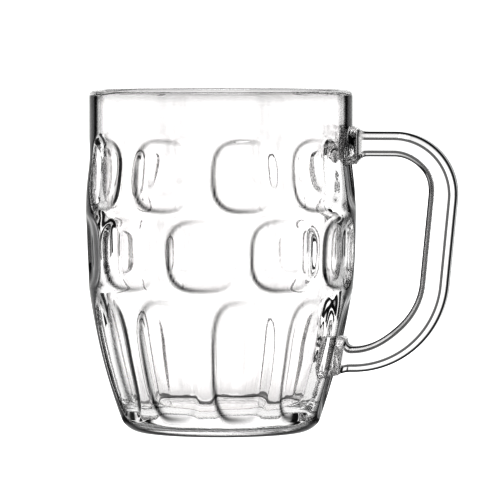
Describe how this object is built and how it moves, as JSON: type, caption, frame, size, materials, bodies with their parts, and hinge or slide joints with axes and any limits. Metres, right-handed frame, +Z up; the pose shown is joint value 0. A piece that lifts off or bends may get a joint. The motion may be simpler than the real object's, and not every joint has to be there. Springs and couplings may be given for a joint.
{
  "type": "dimpled glass beer mug",
  "caption": "Barrel-shaped pressed glass beer mug with staggered rows of shallow dimples, tall flat panels round its foot and a looped glass handle.",
  "frame": {"origin": "centre of the foot's standing ring, on the body's axis", "axes": "+Z up along the body's axis to the open rim, +X from the axis through the middle of the handle, +Y completes a right-handed frame"},
  "size_m": [0.1331, 0.0966, 0.122],
  "materials": {
    "body_glass": "fire-polished clear soda-lime glass",
    "handle_glass": "fire-polished clear soda-lime glass"
  },
  "bodies": {
    "root": {"body": "body_glass", "handle": "handle_glass"}
  },
  "joints": []
}
